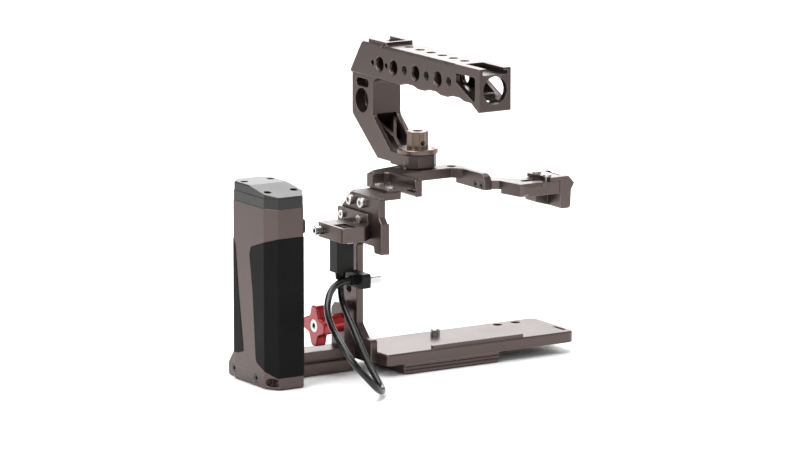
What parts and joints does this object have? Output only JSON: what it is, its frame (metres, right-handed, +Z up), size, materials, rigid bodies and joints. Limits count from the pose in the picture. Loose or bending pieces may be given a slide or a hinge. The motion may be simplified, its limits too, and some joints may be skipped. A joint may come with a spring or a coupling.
{
  "type": "camera cage",
  "caption": "Half cage for a small camera, with a side grip, a scalloped top handle, a clamp and lead for the video port, and a sliding end bracket.",
  "frame": {"origin": "centre of the tripod thread at the quick release plate's underside, level with the bottom of the side grip", "axes": "+X right as seen from behind the camera, +Y the way the lens looks, +Z up"},
  "size_m": [0.2293, 0.1803, 0.2017],
  "materials": {
    "frame_metal": "satin anodised",
    "handle_metal": "satin anodised",
    "bracket_metal": "satin anodised",
    "steel": "machined",
    "dark_steel": "black oxide",
    "bronze": "satin anodised",
    "red": "satin anodised",
    "grip_rubber": "matt",
    "black_plastic": "moulded",
    "grip_lid": "satin",
    "lead": "matt",
    "contact": "bright"
  },
  "bodies": {
    "cage": {"quick_release_plate": "frame_metal", "plate_screws": "steel", "base_plate": "frame_metal", "side_wall": "frame_metal", "wall_screws": "dark_steel", "wall_socket_screws": "steel", "top_frame": "frame_metal", "shelf_screws": "steel", "foot_pins": "steel", "right_arm": "bracket_metal", "arm_screws": "steel", "top_handle": "handle_metal", "foot_washer": "black_plastic", "strap_lug": "handle_metal", "cable_clamp": "bracket_metal", "clamp_bracket_screws": "steel", "cable_adapter": "black_plastic", "adapter_socket": "contact", "strain_relief": "lead", "video_lead": "lead", "plug_body": "black_plastic", "plug_tip": "contact", "grip_shell": "frame_metal", "grip_collar": "grip_lid", "grip_lid": "grip_lid", "lid_screws": "steel", "grip_side_screws": "steel", "battery": "black_plastic", "foot_bar": "frame_metal", "locating_pins": "steel", "grip_pad_rear": "grip_rubber", "grip_pad_front": "grip_rubber"},
    "star": {"star_knob": "red", "star_screw": "steel"},
    "handle_lock": {"handle_knob": "bronze", "knob_screw": "steel"},
    "clamp_tightener": {"clamp_screw": "dark_steel"},
    "front_lock": {"lock_knob": "dark_steel"},
    "camera_thumb_screw": {"camera_screw": "steel"},
    "thumb_ring": {"camera_screw_ring": "steel"},
    "bracket": {"end_bracket": "bracket_metal", "bracket_screws": "steel"},
    "grip_button": {"side_button": "black_plastic"}
  },
  "joints": [
    {"name": "star_turn", "type": "hinge", "parent": "cage", "child": "star", "pos_m": [-0.079, 0.014, 0.0305], "axis": [1, 0, 0], "continuous": true},
    {"name": "handle_lock_turn", "type": "hinge", "parent": "cage", "child": "handle_lock", "pos_m": [0.0095, 0.0353, 0.137], "axis": [0, 0, 1], "continuous": true},
    {"name": "clamp_screw_turn", "type": "hinge", "parent": "cage", "child": "clamp_tightener", "pos_m": [-0.08, 0.011, 0.09325], "axis": [1, 0, 0], "continuous": true},
    {"name": "front_lock_turn", "type": "hinge", "parent": "cage", "child": "front_lock", "pos_m": [0.0095, 0.08039, 0.13454], "axis": [0, 0.6316, -0.7753], "continuous": true},
    {"name": "camera_screw_turn", "type": "hinge", "parent": "cage", "child": "camera_thumb_screw", "pos_m": [0.0085, 0.012, 0.01], "axis": [0, 0, 1], "continuous": true},
    {"name": "ring_fold", "type": "hinge", "parent": "camera_thumb_screw", "child": "thumb_ring", "pos_m": [0.0085, 0.012, 0.00765], "axis": [1, 0, 0], "range_deg": [0, 90]},
    {"name": "bracket_slide", "type": "slide", "parent": "cage", "child": "bracket", "axis": [1, 0, 0], "range_m": [0, 0.003]},
    {"name": "grip_button_press", "type": "slide", "parent": "cage", "child": "grip_button", "axis": [-1, 0, 0], "range_m": [0, 0.001], "stiffness_N_per_m": 400, "springref_m": -0.0006}
  ]
}
